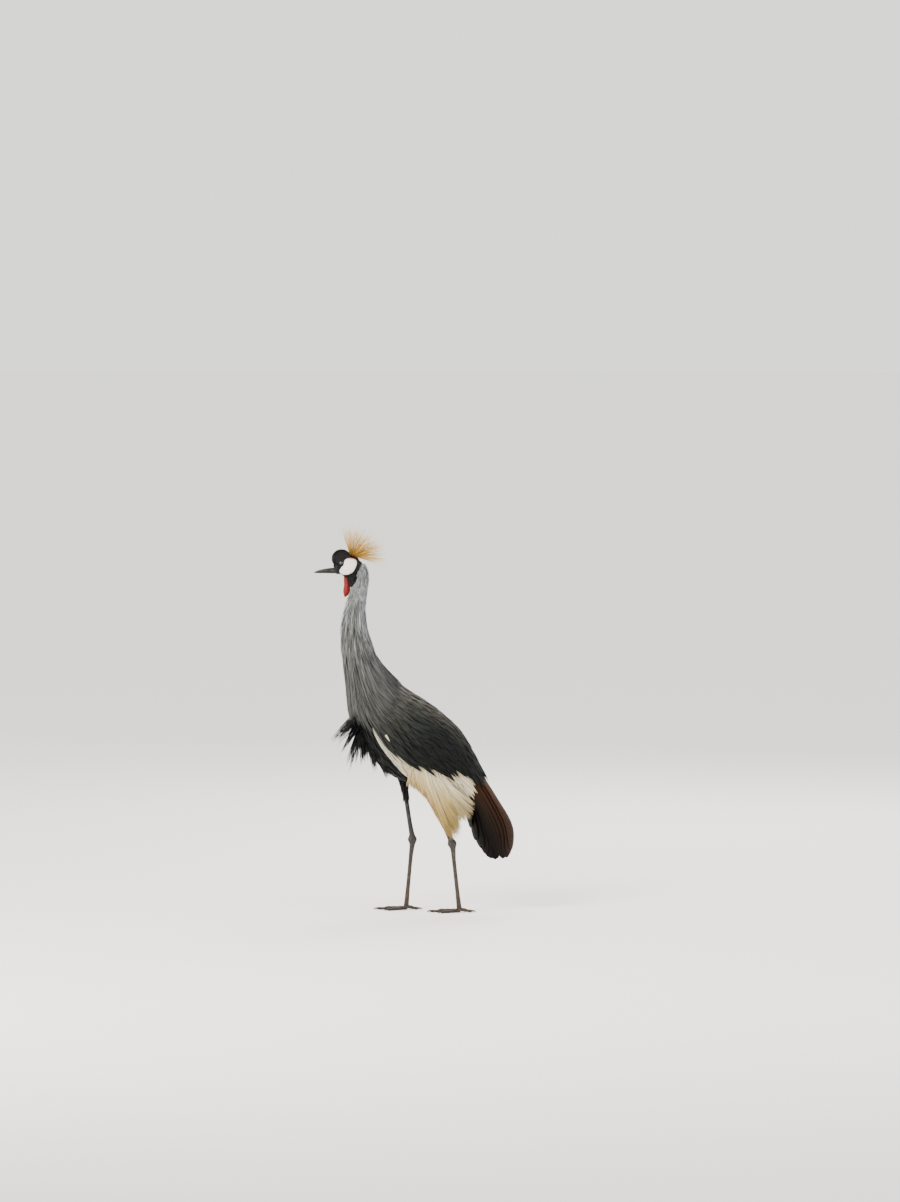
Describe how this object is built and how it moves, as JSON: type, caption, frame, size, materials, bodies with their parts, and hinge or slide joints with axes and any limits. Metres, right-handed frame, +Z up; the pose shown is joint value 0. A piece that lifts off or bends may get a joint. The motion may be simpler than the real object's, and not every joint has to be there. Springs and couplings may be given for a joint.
{
  "type": "grey crowned crane",
  "caption": "Standing crane in mid stride: grey neck plumes, slate back, white, straw and chestnut wings, and a fan of golden head bristles.",
  "frame": {"origin": "on the ground, under the middle of the bounding box", "axes": "+Z up; the bill points along -X; the bird's left side faces -Y, and Y = 0 is its middle plane"},
  "size_m": [0.5649, 0.2282, 1.1147],
  "materials": {
    "grey_plumes": "soft matte feathers",
    "slate_feathers": "matte feathers",
    "black_feathers": "matte feathers",
    "white_feathers": "matte feathers",
    "straw_plumes": "matte feathers",
    "chestnut_feathers": "matte feathers",
    "gold_bristles": "stiff glossy bristles",
    "black_velvet": "velvety short feathers",
    "white_skin": "bare skin",
    "red_skin": "bare wrinkled skin",
    "bill_horn": "satin horn",
    "claw_horn": "satin horn",
    "leg_scales": "scaly skin",
    "iris": "wet gloss"
  },
  "bodies": {
    "root": {"neck_upper": "grey_plumes", "neck_lower": "grey_plumes", "torso": "black_feathers", "mantle": "slate_feathers", "tail": "black_feathers", "head": "black_velvet", "eye_left": "iris", "eye_right": "iris", "forehead_cushion": "black_velvet", "cheek_left": "white_skin", "cheek_right": "white_skin", "bill_upper": "bill_horn", "bill_lower": "bill_horn", "wattle": "red_skin", "crown": "gold_bristles", "wing_left_coverts": "white_feathers", "wing_left_plumes": "straw_plumes", "wing_left_tertials": "chestnut_feathers", "wing_left_primaries": "black_feathers", "leg_left_thigh": "black_feathers", "leg_left_tibia": "leg_scales", "leg_left_tarsus": "leg_scales", "foot_left": "leg_scales", "foot_left_claw_middle": "claw_horn", "foot_left_claw_inner": "claw_horn", "foot_left_claw_outer": "claw_horn", "foot_left_claw_hind": "claw_horn", "wing_right_coverts": "white_feathers", "wing_right_plumes": "straw_plumes", "wing_right_tertials": "chestnut_feathers", "wing_right_primaries": "black_feathers", "leg_right_thigh": "black_feathers", "leg_right_tibia": "leg_scales", "leg_right_tarsus": "leg_scales", "foot_right": "leg_scales", "foot_right_claw_middle": "claw_horn", "foot_right_claw_inner": "claw_horn", "foot_right_claw_outer": "claw_horn", "foot_right_claw_hind": "claw_horn"}
  },
  "joints": []
}
